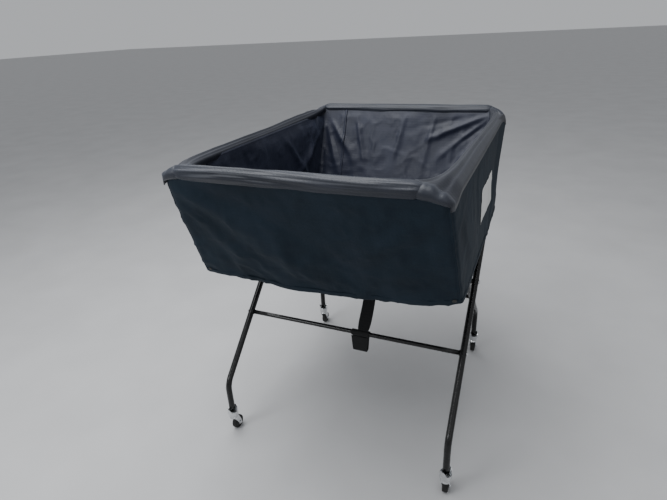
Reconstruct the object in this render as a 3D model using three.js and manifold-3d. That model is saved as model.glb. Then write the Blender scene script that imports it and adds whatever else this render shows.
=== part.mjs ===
// Folding ball cart: two crossed tube frames that pivot on each other like a
// scissor, a fabric bin hung between their top rails, and four swivel casters.
// Millimetres. X runs along the front rail (right is +), Y runs to the rear,
// Z is up. The origin is on the floor, under the middle of the cart.
import * as THREE from 'three';
import { mergeVertices } from 'three/addons/utils/BufferGeometryUtils.js';
import Module from 'manifold-3d';

const wasm = await Module();
wasm.setup();

// ---- driving dimensions ----------------------------------------------------
const TUBE_R = 11;            // frame tube, outside radius
const TUBE_WALL = 1.5;
const OUTER_X = 402;          // outer frame leg centre, from the middle plane
const INNER_X = 374;          // inner frame leg centre
const FOOT_Y = 392;           // feet, from the middle
const FOOT_Z = 95;            // lower end of the tubes
const BEND_Z = 220;           // where the upright foot turns into the leg
const RAIL_Y = 525;           // top rails, from the middle
const RAIL_Z = 1067;
const CORNER_R = 60;          // bend between a leg and its top rail
const FOOT_R = 70;            // bend between a foot and its leg
const JOIN_S = 250;           // leg to bow joint, measured up the leg from the pivot
const BAR_R = 8;              // crossbars
const BAR_Z = 412;
const SLEEVE_R = 19;          // fabric sleeve round a top rail
const HEM_Z = 709;
const HEM_Y = 388;
const SKIN = 1.6;             // cloth thickness in the solids
const LINER_X = 352;          // half width of the lining
const FLOOR_Z = 720;
const WHEEL_R = 25.5;
const TRAIL = 18;             // wheel axle behind the swivel axis
const GAP = 0.3;

const LEAN = Math.atan2(RAIL_Y + FOOT_Y, RAIL_Z - BEND_Z);   // leg angle from upright
const SN = Math.sin(LEAN), CS = Math.cos(LEAN);
const PIVOT_Z = BEND_Z + FOOT_Y / Math.tan(LEAN);
const RAIL_S = RAIL_Y / SN;
const BAR_S = (BAR_Z - PIVOT_Z) / CS;
const V = (x, y, z) => new THREE.Vector3(x, y, z);

// ---- helpers ---------------------------------------------------------------
const cart = new THREE.Group();
function add(name, geometry, color, roughness = 0.5, metalness = 0) {
  const mesh = new THREE.Mesh(geometry, new THREE.MeshStandardMaterial({ color, roughness, metalness }));
  mesh.name = name;
  cart.add(mesh);
  return mesh;
}
function solid(geometry) {
  const g = (geometry.index ? geometry.toNonIndexed() : geometry).clone();
  g.deleteAttribute('normal'); g.deleteAttribute('uv');
  const m = mergeVertices(g, 1e-4);
  return new wasm.Manifold(new wasm.Mesh({
    numProp: 3,
    vertProperties: new Float32Array(m.attributes.position.array),
    triVerts: new Uint32Array(m.index.array),
  }));
}
function back(man) {
  const mesh = man.getMesh();
  const g = new THREE.BufferGeometry();
  g.setAttribute('position', new THREE.BufferAttribute(new Float32Array(mesh.vertProperties), 3));
  g.setIndex(new THREE.BufferAttribute(new Uint32Array(mesh.triVerts), 1));
  return g;
}
// A route that the extrusion follows point by point.
class Route extends THREE.Curve {
  constructor(points) { super(); this.p = points; }
  at(u) { return Math.min(this.p.length - 1, Math.max(0, Math.round(u * (this.p.length - 1)))); }
  getPointAt(u) { return this.p[this.at(u)].clone(); }
  getPoint(u) { return this.getPointAt(u); }
  getTangentAt(u) {
    const i = this.at(u), n = this.p.length - 1, t = V(0, 0, 0);
    if (i > 0) t.add(this.p[i].clone().sub(this.p[i - 1]).normalize());
    if (i < n) t.add(this.p[i + 1].clone().sub(this.p[i]).normalize());
    return t.normalize();
  }
  getTangent(u) { return this.getTangentAt(u); }
}
function ringShape(rOut, rIn, sides) {
  const s = new THREE.Shape();
  for (let i = 0; i < sides; i++) {
    const a = (i / sides) * 2 * Math.PI;
    if (i) s.lineTo(rOut * Math.cos(a), rOut * Math.sin(a)); else s.moveTo(rOut, 0);
  }
  s.closePath();
  if (rIn) {
    const h = new THREE.Path();
    for (let i = 0; i < sides; i++) {
      const a = -(i / sides) * 2 * Math.PI;
      if (i) h.lineTo(rIn * Math.cos(a), rIn * Math.sin(a)); else h.moveTo(rIn, 0);
    }
    h.closePath();
    s.holes.push(h);
  }
  return s;
}
function tube(points, rOut, rIn, sides = 12) {
  return new THREE.ExtrudeGeometry(ringShape(rOut, rIn, sides), {
    steps: points.length - 1, bevelEnabled: false, curveSegments: 1, extrudePath: new Route(points),
  });
}
function outline(points) {
  const s = new THREE.Shape();
  points.forEach(([a, b], i) => (i ? s.lineTo(a, b) : s.moveTo(a, b)));
  s.closePath();
  return s;
}
// Plate with its outline in the YZ plane, from x0 to x0 + t.
function plateX(points, x0, t) {
  const g = new THREE.ExtrudeGeometry(outline(points), { depth: t, bevelEnabled: false });
  g.applyMatrix4(new THREE.Matrix4().makeBasis(V(0, 1, 0), V(0, 0, 1), V(1, 0, 0)));
  g.translate(x0, 0, 0);
  return g;
}
// Plate leaning in Y: outline is (x, distance down from `top`), extruded by t away from the bin.
function leaningPlate(points, top, bottom, t, side) {
  const down = V(0, bottom[0] - top[0], bottom[1] - top[1]).normalize();
  const out = V(1, 0, 0).cross(down).normalize();
  const g = new THREE.ExtrudeGeometry(outline(points), { depth: t, bevelEnabled: false });
  g.translate(0, 0, -t / 2);
  g.applyMatrix4(new THREE.Matrix4().makeBasis(V(1, 0, 0), down, out).setPosition(0, top[0], top[1]));
  return g;
}
function rod(x0, x1, r, y, z, sides = 16) {
  const g = new THREE.CylinderGeometry(r, r, Math.abs(x1 - x0), sides);
  g.rotateZ(Math.PI / 2);
  g.translate((x0 + x1) / 2, y, z);
  return g;
}
function lathe(profile, sides = 20) {
  return new THREE.LatheGeometry(profile.map(([r, h]) => new THREE.Vector2(r, h)), sides);
}

// ---- colours ---------------------------------------------------------------
const BLACK = 0x0c0d0f, STEEL = 0xc8cacd, CLOTH = 0x161c24, LINING = 0x2b2e3a, RUBBER = 0x121212, WEB = 0x0a0a0b;

// ---- tube frames -----------------------------------------------------------
// sign = +1: feet at the front and top rail at the rear (outer frame).
// sign = -1: feet at the rear and top rail at the front (inner frame).
const onLeg = (sign, x, s) => V(x, sign * s * SN, PIVOT_Z + s * CS);
function legPath(sign, x) {
  const t = FOOT_R * Math.tan(LEAN / 2), pts = [V(x, -sign * FOOT_Y, FOOT_Z)];
  const c = V(x, -sign * (FOOT_Y - FOOT_R), BEND_Z - t);
  for (let i = 0; i <= 5; i++) {
    const a = (LEAN * i) / 5;
    pts.push(V(x, c.y - sign * FOOT_R * Math.cos(a), c.z + FOOT_R * Math.sin(a)));
  }
  pts.push(onLeg(sign, x, BAR_S), onLeg(sign, x, 0), onLeg(sign, x, JOIN_S - GAP));
  return pts;
}
function bowPath(sign, x, from = JOIN_S, bendFrom = 0, steps = 6) {
  const pts = [], arc = [];
  const cx = x - CORNER_R, cs = RAIL_S - CORNER_R;
  for (let i = 0; i <= steps; i++) {
    const a = bendFrom + ((Math.PI / 2 - bendFrom) * i) / steps;
    arc.push([cx + CORNER_R * Math.cos(a), cs + CORNER_R * Math.sin(a)]);
  }
  if (from !== null) pts.push(onLeg(sign, -x, from));
  for (const [ax, s] of arc) pts.push(onLeg(sign, -ax, s));
  for (const [ax, s] of arc.slice().reverse()) pts.push(onLeg(sign, ax, s));
  if (from !== null) pts.push(onLeg(sign, x, from));
  return pts;
}
function boltHole(geometry, s, sign, x) {
  const p = onLeg(sign, x, s);
  return back(solid(geometry).subtract(solid(rod(x - 30, x + 30, 4.4, p.y, p.z, 12))));
}
for (const [frame, sign, x] of [['outer', 1, OUTER_X], ['inner', -1, INNER_X]]) {
  for (const [side, k] of [['left', -1], ['right', 1]]) {
    add(`${frame}_${side}_leg`, boltHole(tube(legPath(sign, k * x), TUBE_R, TUBE_R - TUBE_WALL), 0, sign, k * x), BLACK, 0.25, 0.3);
  }
  add(`${frame}_top_bow`, tube(bowPath(sign, x), TUBE_R, TUBE_R - TUBE_WALL), BLACK, 0.25, 0.3);
  // Crossbar, coped to sit against the two legs.
  const b = onLeg(sign, 0, BAR_S);
  let bar = solid(tube([V(-x + 2, b.y, b.z), V(x - 2, b.y, b.z)], BAR_R, BAR_R - 1.2));
  for (const k of [-1, 1]) bar = bar.subtract(solid(tube([onLeg(sign, k * x, BAR_S - 60), onLeg(sign, k * x, BAR_S + 60)], TUBE_R + 0.7, 0, 24)));
  add(`${frame}_crossbar`, back(bar), BLACK, 0.25, 0.3);
  for (const [side, k] of [['left', -1], ['right', 1]]) {
    const g = lathe([[0, 0], [6, 0], [6, 1.2], [4.2, 3], [0, 3.4]], 12);
    g.rotateZ(-k * Math.PI / 2);
    g.translate(k * (x + TUBE_R + GAP), b.y, b.z);
    add(`${frame}_${side}_crossbar_screw`, g, STEEL, 0.3, 0.9);
  }
}

// ---- pivot hardware --------------------------------------------------------
for (const [side, k] of [['left', -1], ['right', 1]]) {
  const head = OUTER_X + TUBE_R + GAP;
  const bolt = lathe([[0, -62], [4, -62], [4, 0], [7.5, 0], [7.5, 1.5], [5, 4.2], [0, 5]], 12);
  bolt.rotateZ(-k * Math.PI / 2);
  bolt.translate(k * head, 0, PIVOT_Z);
  add(`${side}_pivot_bolt`, bolt, STEEL, 0.3, 0.9);
  const ring = (x0, x1, r, sides) => {
    const g = new THREE.ExtrudeGeometry(ringShape(r, 4.5, sides), { depth: x1 - x0, bevelEnabled: false });
    g.rotateY(Math.PI / 2);
    g.translate(k > 0 ? x0 : -x1, 0, PIVOT_Z);
    return g;
  };
  add(`${side}_pivot_spacer`, ring(INNER_X + TUBE_R + GAP, OUTER_X - TUBE_R - GAP, 9, 16), 0x151515, 0.6, 0);
  add(`${side}_pivot_nut`, ring(INNER_X - TUBE_R - GAP - 6, INNER_X - TUBE_R - GAP, 7.5, 12), STEEL, 0.3, 0.9);
}

// ---- casters ---------------------------------------------------------------
const CASTERS = [
  ['front_left', -OUTER_X, -FOOT_Y], ['front_right', OUTER_X, -FOOT_Y],
  ['rear_left', -INNER_X, FOOT_Y], ['rear_right', INNER_X, FOOT_Y],
];
function forkSolid() {
  // Crown: a shallow cup with a hole for the kingpin.
  const crown = lathe([[4.6, 64], [17, 64], [17, 67], [15, 71.2], [4.6, 71.2], [4.6, 64]], 16);
  crown.rotateX(Math.PI / 2);
  let f = solid(crown);
  for (const k of [-1, 1]) {
    const arm = outline([[-12, 67], [13, 67], [TRAIL + 7, WHEEL_R + 10], [TRAIL + 8, WHEEL_R - 3], [TRAIL + 3, WHEEL_R - 8],
      [TRAIL - 5, WHEEL_R - 8], [TRAIL - 8, WHEEL_R - 2]]);
    const g = new THREE.ExtrudeGeometry(arm, { depth: 2, bevelEnabled: false });
    g.applyMatrix4(new THREE.Matrix4().makeBasis(V(0, 1, 0), V(0, 0, 1), V(1, 0, 0)));
    g.translate(k > 0 ? 11 : -13, 0, 0);
    f = f.add(solid(g));
  }
  return f.subtract(solid(rod(-20, 20, 3.4, TRAIL, WHEEL_R, 12)));
}
const forkGeometry = back(forkSolid());
for (const [name, x, y] of CASTERS) {
  // Stem: kingpin head, a cup under the tube's end with an ear up each side, and the plug inside the tube.
  const cap = lathe([[0, 60], [6.5, 60], [6.5, 63], [4, 63.6], [4, 71.6], [16, 71.6], [19.5, 76], [19.5, FOOT_Z - GAP], [5, FOOT_Z - GAP], [5, 124], [0, 126]], 16);
  cap.rotateX(Math.PI / 2);
  let stem = solid(cap);
  for (const k of [-1, 1]) {
    const ear = new THREE.ExtrudeGeometry(outline([[-8, FOOT_Z - 6], [8, FOOT_Z - 6], [7, FOOT_Z + 9], [3, FOOT_Z + 17], [-3, FOOT_Z + 17], [-7, FOOT_Z + 9]]), { depth: 3.5, bevelEnabled: false });
    ear.applyMatrix4(new THREE.Matrix4().makeBasis(V(0, 1, 0), V(0, 0, 1), V(1, 0, 0)));
    ear.translate(k > 0 ? 13.5 : -17, 0, 0);
    stem = stem.add(solid(ear));
  }
  const cup = back(stem);
  cup.rotateZ(y < 0 ? Math.PI / 3 : Math.PI / 7);
  cup.translate(x, y, 0);
  add(`${name}_caster_stem`, cup, STEEL, 0.25, 0.9);
  add(`${name}_caster_fork`, forkGeometry.clone().translate(x, y, 0), STEEL, 0.3, 0.9);
  const turn = (g) => { g.rotateZ(-Math.PI / 2); g.translate(x, y + TRAIL, WHEEL_R); return g; };
  add(`${name}_axle`, turn(lathe([[0, -16.5], [5.5, -15.5], [5.5, -13.4], [3, -13.4], [3, 13.4], [5.5, 13.4], [5.5, 15.5], [0, 16.5]], 12)), STEEL, 0.3, 0.9);
  add(`${name}_wheel_hub`, turn(lathe([[3.5, -10], [8, -10], [9, -6.5], [17, -6.5], [17, 6.5], [9, 6.5], [8, 10], [3.5, 10], [3.5, -10]], 16)), RUBBER, 0.5, 0);
  add(`${name}_tyre`, turn(lathe([[17.4, -8.5], [22, -9], [WHEEL_R, -6], [WHEEL_R, 6], [22, 9], [17.4, 8.5], [17.4, -8.5]], 20)), RUBBER, 0.7, 0);
}

// ---- fabric bin ------------------------------------------------------------
const SLEEVE_IN = 12.2;
const SHOULDER_W = 72.6;      // side band, from its inner edge out to the skirt
const SHOULDER_H = 57.7;      // side band, from the skirt's top edge up to its crest
const SHOULDER_LOW = 1026.3;
const SHOULDER_Y = 455;
const SHOULDER_FROM = Math.PI / 15;  // the band's inner edge, round from the crest
for (const [side, sign, x] of [['rear', 1, OUTER_X], ['front', -1, INNER_X]]) {
  // Sleeve round the rail and two thirds of each bend.
  add(`${side}_rail_sleeve`, tube(bowPath(sign, x, null, Math.PI / 6, 4), SLEEVE_R, SLEEVE_IN, 12), CLOTH, 0.85, 0);
  // Outer panel, hanging from the sleeve and leaning in to the hem.
  const top = [sign * (RAIL_Y + 8), RAIL_Z - 23], bottom = [sign * HEM_Y, HEM_Z];
  const len = Math.hypot(bottom[0] - top[0], bottom[1] - top[1]);
  add(`${side}_panel`, leaningPlate([[-352, 0], [-398, 14], [-405, 40], [-409, 80], [-409, len], [-200, len + 18], [200, len + 18], [409, len], [409, 80], [405, 40], [398, 14], [352, 0]], top, bottom, SKIN, sign), CLOTH, 0.85, 0);
  // Lining behind it.
  const ltop = [sign * (RAIL_Y - 24), RAIL_Z - 6], lbot = [sign * (HEM_Y - 16), FLOOR_Z + 3];
  const ll = Math.hypot(lbot[0] - ltop[0], lbot[1] - ltop[1]);
  add(`${side}_lining`, leaningPlate([[-320, 0], [-LINER_X, 50], [-LINER_X, ll], [LINER_X, ll], [LINER_X, 50], [320, 0]], ltop, lbot, SKIN, sign), LINING, 0.85, 0);
}
const floorPlate = new THREE.BoxGeometry(2 * LINER_X, 2 * (HEM_Y - 16), SKIN);
floorPlate.translate(0, 0, FLOOR_Z);
add('bin_floor', floorPlate, LINING, 0.85, 0);
for (const [side, k] of [['left', -1], ['right', 1]]) {
  const sx = (x0, t) => (k > 0 ? x0 : -x0 - t);
  const skirtX = OUTER_X + TUBE_R + 0.8;
  const topY = HEM_Y + ((RAIL_Y + 8 - HEM_Y) * (SHOULDER_LOW - 3 - HEM_Z)) / (RAIL_Z - 23 - HEM_Z) - 4;
  add(`${side}_side_panel`, plateX([[-topY, SHOULDER_LOW - 3], [topY, SHOULDER_LOW - 3], [HEM_Y - 3, HEM_Z], [0, HEM_Z - 6], [-HEM_Y + 3, HEM_Z]], sx(skirtX, SKIN), SKIN), CLOTH, 0.85, 0);
  add(`${side}_side_lining`, plateX([[-455, RAIL_Z + 11], [455, RAIL_Z + 11], [HEM_Y - 22, FLOOR_Z + 3], [-HEM_Y + 22, FLOOR_Z + 3]], sx(LINER_X + 2, SKIN), SKIN), LINING, 0.85, 0);
  // Side band: the cloth shoulder stretched between the bends of the two bows.
  const low = [], high = [];
  for (let i = 0; i <= 8; i++) {
    const a = SHOULDER_FROM + (i / 8) * (Math.PI / 2 - SHOULDER_FROM);
    const c = [OUTER_X - CORNER_R, SHOULDER_LOW];
    high.push([k * (c[0] + (SHOULDER_W + SKIN / 2) * Math.sin(a)), c[1] + (SHOULDER_H + SKIN / 2) * Math.cos(a)]);
    low.push([k * (c[0] + (SHOULDER_W - SKIN / 2) * Math.sin(a)), c[1] + (SHOULDER_H - SKIN / 2) * Math.cos(a)]);
  }
  const shoulder = new THREE.ExtrudeGeometry(outline([...low, ...high.reverse()]), { depth: 2 * SHOULDER_Y, bevelEnabled: false });
  shoulder.rotateX(Math.PI / 2);
  shoulder.translate(0, SHOULDER_Y, 0);
  add(`${side}_side_band`, shoulder, CLOTH, 0.85, 0);
  // Snap on the hem's corner: its axis is square to the front panel.
  const top = V(0, -(RAIL_Y + 8), RAIL_Z - 23), down = V(0, -HEM_Y, HEM_Z).sub(top);
  const reach = down.length() - 16;
  down.normalize();
  const face = down.clone().cross(V(1, 0, 0)).normalize();
  const snap = lathe([[0, 0], [6, 0], [6, 1.6], [3.5, 2.6], [0, 2.6]], 12);
  const at = top.clone().addScaledVector(down, reach).addScaledVector(face, SKIN / 2 + GAP);
  snap.applyMatrix4(new THREE.Matrix4().makeBasis(face.clone().cross(down), face, down).setPosition(k * 394, at.y, at.z));
  add(`${side}_hem_snap`, snap, WEB, 0.4, 0.2);
}

// ---- spreader strap --------------------------------------------------------
// Webbing tied round both crossbars; a tail loop hangs under the front one.
const bar = onLeg(1, 0, BAR_S);
const WEB_W = 50, WEB_T = 2, TAIL_W = 64;
const strapX = (y) => 11 - 0.24 * y;   // the strap runs at a slant, from right of middle in front to left of it behind
function band(pts, width = WEB_W) {
  // Closed strip of thickness WEB_T following pts in the YZ plane.
  const up = [], dn = [];
  pts.forEach(([y, z], i) => {
    const a = pts[Math.max(0, i - 1)], b = pts[Math.min(pts.length - 1, i + 1)];
    const l = Math.hypot(b[0] - a[0], b[1] - a[1]), ny = -(b[1] - a[1]) / l, nz = (b[0] - a[0]) / l;
    up.push([y + ny * WEB_T / 2, z + nz * WEB_T / 2]); dn.push([y - ny * WEB_T / 2, z - nz * WEB_T / 2]);
  });
  return plateX([...dn, ...up.reverse()], -width / 2, width);
}
for (const [side, sign] of [['front', 1], ['rear', -1]]) {
  const g = new THREE.ExtrudeGeometry(ringShape(11.4, 9.2, 12), { depth: WEB_W, bevelEnabled: false });
  g.rotateY(Math.PI / 2);
  g.translate(strapX(sign * bar.y) - WEB_W / 2, sign * bar.y, bar.z);
  add(`strap_${side}_loop`, g, WEB, 0.8, 0);
}
{
  const pts = [];
  for (let i = 0; i <= 10; i++) {
    const u = i / 10, y = bar.y + 13 + u * (-2 * bar.y - 26);
    pts.push([y, bar.z + 3 - 4 * 14 * u * (1 - u)]);
  }
  // Sheared along X so that its ends meet the two loops.
  const strap = band(pts).applyMatrix4(new THREE.Matrix4().set(1, -0.24, 0, 11, 0, 1, 0, 0, 0, 0, 1, 0, 0, 0, 0, 1));
  add('spreader_strap', strap, WEB, 0.8, 0);
  const tail = [];
  for (let i = 0; i <= 12; i++) {
    const a = (i / 12) * Math.PI;
    tail.push([bar.y + 8 * Math.cos(a), bar.z - 66 - 8 * Math.sin(a)]);
  }
  add('strap_tail_loop', band([[bar.y + 6, bar.z - 13], [bar.y + 8, bar.z - 40], ...tail, [bar.y - 8, bar.z - 40], [bar.y - 6, bar.z - 13]], TAIL_W).translate(strapX(bar.y) - 9, 0, 0), WEB, 0.8, 0);
}

export default cart;
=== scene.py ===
# Looks for the folding ball cart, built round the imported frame. Metres.
import bpy, bmesh, math
import numpy as np
from mathutils import Vector, Matrix, noise


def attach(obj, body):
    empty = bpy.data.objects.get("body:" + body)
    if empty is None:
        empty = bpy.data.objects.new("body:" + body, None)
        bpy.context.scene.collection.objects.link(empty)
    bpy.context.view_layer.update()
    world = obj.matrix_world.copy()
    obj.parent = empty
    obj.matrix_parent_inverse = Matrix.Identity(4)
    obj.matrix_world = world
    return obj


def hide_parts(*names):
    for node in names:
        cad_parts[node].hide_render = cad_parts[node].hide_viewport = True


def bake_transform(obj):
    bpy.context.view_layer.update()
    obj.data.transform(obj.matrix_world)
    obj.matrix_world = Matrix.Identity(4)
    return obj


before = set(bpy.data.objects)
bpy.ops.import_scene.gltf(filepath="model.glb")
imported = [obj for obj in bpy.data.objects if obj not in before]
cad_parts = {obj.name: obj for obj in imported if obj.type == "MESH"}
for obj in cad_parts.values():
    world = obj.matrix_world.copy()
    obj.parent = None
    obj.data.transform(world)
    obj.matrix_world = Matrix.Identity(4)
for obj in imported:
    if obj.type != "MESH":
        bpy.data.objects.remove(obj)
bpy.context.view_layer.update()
scene = bpy.context.scene

# ---- dimensions repeated from the CAD source, in metres ---------------------
TUBE_R = .011
OUTER_X, INNER_X = .402, .374
FOOT_Y, FOOT_Z, BEND_Z = .392, .095, .220
RAIL_Y, RAIL_Z = .525, 1.067
CORNER_R, FOOT_R = .060, .070
BAR_R, BAR_Z = .008, .412
SLEEVE_R = .019
HEM_Z, HEM_Y = .709, .388
FLOOR_Z = .720
WHEEL_R, TRAIL = .0255, .018
LEAN = math.atan2(RAIL_Y + FOOT_Y, RAIL_Z - BEND_Z)
SN, CS = math.sin(LEAN), math.cos(LEAN)
PIVOT_Z = BEND_Z + FOOT_Y / math.tan(LEAN)
RAIL_S = RAIL_Y / SN
BAR_S = (BAR_Z - PIVOT_Z) / CS

# ---- camera -----------------------------------------------------------------
def make_camera():
    cam = bpy.data.objects.new("camera", bpy.data.cameras.new("camera"))
    scene.collection.objects.link(cam)
    yaw, pitch, roll = math.radians(24.32), math.radians(24.95), math.radians(-3.14)
    f = np.array([-math.sin(yaw) * math.cos(pitch), math.cos(yaw) * math.cos(pitch), -math.sin(pitch)])
    r = np.array([math.cos(yaw), math.sin(yaw), 0.0]); u = np.cross(r, f)
    c, s = math.cos(roll), math.sin(roll)
    r2, u2 = c * r + s * u, -s * r + c * u
    m = Matrix.Identity(4)
    for i in range(3):
        m[i][0], m[i][1], m[i][2] = r2[i], u2[i], -f[i]
    m[0][3], m[1][3], m[2][3] = .55106, -1.49135, 1.39065
    cam.matrix_world = m
    cam.data.sensor_width = 36
    cam.data.lens = 36 * 476.34 / 667
    cam.data.clip_start = .02
    scene.camera = cam
make_camera()

# ---- materials --------------------------------------------------------------
def new_mat(name):
    m = bpy.data.materials.new(name); m.use_nodes = True
    nt = m.node_tree; nt.nodes.clear()
    out = nt.nodes.new("ShaderNodeOutputMaterial")
    b = nt.nodes.new("ShaderNodeBsdfPrincipled")
    nt.links.new(b.outputs["BSDF"], out.inputs["Surface"])
    return m, nt, b
def node(nt, kind, **vals):
    n = nt.nodes.new(kind)
    for k, v in vals.items():
        if k in n.inputs: n.inputs[k].default_value = v
        else: setattr(n, k, v)
    return n
def ramp(nt, fac, c0, c1, p0=.3, p1=.7):
    r = nt.nodes.new("ShaderNodeValToRGB")
    r.color_ramp.elements[0].position, r.color_ramp.elements[1].position = p0, p1
    r.color_ramp.elements[0].color, r.color_ramp.elements[1].color = (*c0, 1), (*c1, 1)
    nt.links.new(fac, r.inputs["Fac"])
    return r.outputs["Color"]
def span(nt, fac, lo, hi):
    r = node(nt, "ShaderNodeMapRange")
    r.inputs["To Min"].default_value, r.inputs["To Max"].default_value = lo, hi
    nt.links.new(fac, r.inputs["Value"])
    return r.outputs["Result"]
def fabric(name, dark, light, rough=(.55, .75), sheen=.25, tint=(.5, .55, .65), thread=.0011, depth=.0004, crease=.0006, spec=.35):
    m, nt, b = new_mat(name)
    tc = node(nt, "ShaderNodeTexCoord")
    big = node(nt, "ShaderNodeTexNoise", Scale=7.0, Detail=4.0, Roughness=.6)
    nt.links.new(tc.outputs["Object"], big.inputs["Vector"])
    fine = node(nt, "ShaderNodeTexNoise", Scale=420.0, Detail=2.0)
    nt.links.new(tc.outputs["Object"], fine.inputs["Vector"])
    mix = node(nt, "ShaderNodeMath", operation="MULTIPLY_ADD")
    nt.links.new(fine.outputs["Fac"], mix.inputs[0]); mix.inputs[1].default_value = .35
    nt.links.new(big.outputs["Fac"], mix.inputs[2])
    nt.links.new(ramp(nt, mix.outputs[0], dark, light, .45, .95), b.inputs["Base Color"])
    nt.links.new(span(nt, big.outputs["Fac"], *rough), b.inputs["Roughness"])
    b.inputs["Sheen Weight"].default_value = sheen
    b.inputs["Sheen Roughness"].default_value = .45
    b.inputs["Sheen Tint"].default_value = (*tint, 1)
    b.inputs["Specular IOR Level"].default_value = spec
    # plain weave from two crossed waves in the cloth's own coordinates
    uv = node(nt, "ShaderNodeUVMap"); uv.uv_map = "UVMap"
    waves = []
    for d in ("X", "Y"):
        w = node(nt, "ShaderNodeTexWave", Scale=.314 / thread / 10 * 1.0, Distortion=.6)
        w.bands_direction = d
        w.inputs["Detail"].default_value = 1.0
        nt.links.new(uv.outputs["UV"], w.inputs["Vector"]); waves.append(w)
    mx = node(nt, "ShaderNodeMath", operation="MAXIMUM")
    nt.links.new(waves[0].outputs["Fac"], mx.inputs[0]); nt.links.new(waves[1].outputs["Fac"], mx.inputs[1])
    bump = node(nt, "ShaderNodeBump", Strength=.35, Distance=depth)
    nt.links.new(mx.outputs[0], bump.inputs["Height"])
    # small creases and puckers
    cr = node(nt, "ShaderNodeTexNoise", Scale=38.0, Detail=5.0, Roughness=.65, Distortion=.8)
    nt.links.new(tc.outputs["Object"], cr.inputs["Vector"])
    bump2 = node(nt, "ShaderNodeBump", Strength=.6, Distance=crease)
    nt.links.new(cr.outputs["Fac"], bump2.inputs["Height"]); nt.links.new(bump.outputs["Normal"], bump2.inputs["Normal"])
    nt.links.new(bump2.outputs["Normal"], b.inputs["Normal"])
    return m
def metal(name, c0, c1, rough, metallic=1.0, scratch=.0002, scale=60.0, coat=0.0):
    m, nt, b = new_mat(name)
    tc = node(nt, "ShaderNodeTexCoord")
    n1 = node(nt, "ShaderNodeTexNoise", Scale=scale, Detail=4.0, Roughness=.6)
    nt.links.new(tc.outputs["Object"], n1.inputs["Vector"])
    nt.links.new(ramp(nt, n1.outputs["Fac"], c0, c1), b.inputs["Base Color"])
    nt.links.new(span(nt, n1.outputs["Fac"], *rough), b.inputs["Roughness"])
    b.inputs["Metallic"].default_value = metallic
    b.inputs["Coat Weight"].default_value = coat
    b.inputs["Coat Roughness"].default_value = .08
    fine = node(nt, "ShaderNodeTexNoise", Scale=scale * 14, Detail=2.0)
    nt.links.new(tc.outputs["Object"], fine.inputs["Vector"])
    bump = node(nt, "ShaderNodeBump", Strength=.3, Distance=scratch)
    nt.links.new(fine.outputs["Fac"], bump.inputs["Height"]); nt.links.new(bump.outputs["Normal"], b.inputs["Normal"])
    return m
M_COVER = fabric("cover_fabric", (.0052, .0104, .0168), (.0150, .0250, .0372), rough=(.58, .80), sheen=.03, tint=(.40, .50, .62), crease=.0012, spec=.13)
# sleeve cloth is the cover's navy fabric given a lighter colour: a painted highlight standing in for the top-lit sheen
# on the rail sleeves
M_SLEEVE_PAINTED_SHEEN = fabric("sleeve_fabric_painted_sheen", (.0100, .0122, .0190), (.0245, .0280, .0390), rough=(.38, .54), sheen=.10, crease=.0012)
M_BAND = fabric("band_fabric", (.0064, .0078, .0128), (.0132, .0150, .0225), rough=(.40, .56), sheen=.08, crease=.0009)
M_LINING = fabric("lining_fabric", (.0092, .0112, .0215), (.0190, .0225, .0395), rough=(.38, .54), sheen=.08, tint=(.42, .50, .70), crease=.0013, spec=.30)
M_WEB = fabric("webbing", (.0015, .0015, .0018), (.0035, .0035, .004), rough=(.7, .85), sheen=.03, thread=.0022, depth=.001)
M_PATCH = fabric("patch_fabric", (.62, .62, .60), (.78, .78, .76), rough=(.6, .75), sheen=.1, tint=(.9, .9, .9))
M_THREAD = fabric("stitching", (.02, .022, .028), (.045, .048, .058), rough=(.6, .8), sheen=.1)
M_PAINT = metal("frame_paint", (.0018, .0018, .0020), (.0040, .0040, .0044), (.20, .34), metallic=0.0, coat=.12)
M_PAINT.node_tree.nodes["Principled BSDF"].inputs["Specular IOR Level"].default_value = .36
M_STEEL = metal("bright_steel", (.58, .59, .60), (.80, .81, .82), (.16, .34))
M_WHEEL = metal("wheel_plastic", (.0035, .0035, .0038), (.008, .008, .0085), (.38, .55), metallic=0.0, scratch=.0001)
M_TYRE = metal("tyre_rubber", (.0030, .0030, .0030), (.0065, .0065, .0065), (.6, .85), metallic=0.0, scratch=.0003)
M_NYLON = metal("nylon", (.012, .012, .012), (.02, .02, .02), (.4, .6), metallic=0.0)

# ---- mesh helpers -----------------------------------------------------------
def make(name, verts, faces, mat, uv=None, smooth=True, thick=0.0):
    me = bpy.data.meshes.new(name)
    me.from_pydata([tuple(map(float, v)) for v in verts], [], faces)
    me.update()
    if uv is not None:
        lay = me.uv_layers.new(name="UVMap")
        idx = np.zeros(len(me.loops), np.int32); me.loops.foreach_get("vertex_index", idx)
        lay.data.foreach_set("uv", np.asarray(uv, np.float32)[idx].ravel())
    me.polygons.foreach_set("use_smooth", [smooth] * len(me.polygons))
    me.materials.append(mat)
    o = bpy.data.objects.new(name, me)
    scene.collection.objects.link(o)
    if thick:
        s = o.modifiers.new("thickness", "SOLIDIFY"); s.thickness = thick; s.offset = 0
    return o
def grid_faces(nu, nv, wrap=False):
    n = nu if wrap else nu - 1
    return [(i * nv + j, ((i + 1) % nu) * nv + j, ((i + 1) % nu) * nv + j + 1, i * nv + j + 1) for i in range(n) for j in range(nv - 1)]
def grid_uv(P):
    """UVs in metres measured along the sheet."""
    nu, nv = P.shape[:2]
    du = np.zeros((nu, nv)); dv = np.zeros((nu, nv))
    du[1:] = np.linalg.norm(np.diff(P, axis=0), axis=2).mean(1, keepdims=True)
    dv[:, 1:] = np.linalg.norm(np.diff(P, axis=1), axis=2)
    return np.stack([np.cumsum(du, 0), np.cumsum(dv, 1)], 2).reshape(-1, 2)
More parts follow.
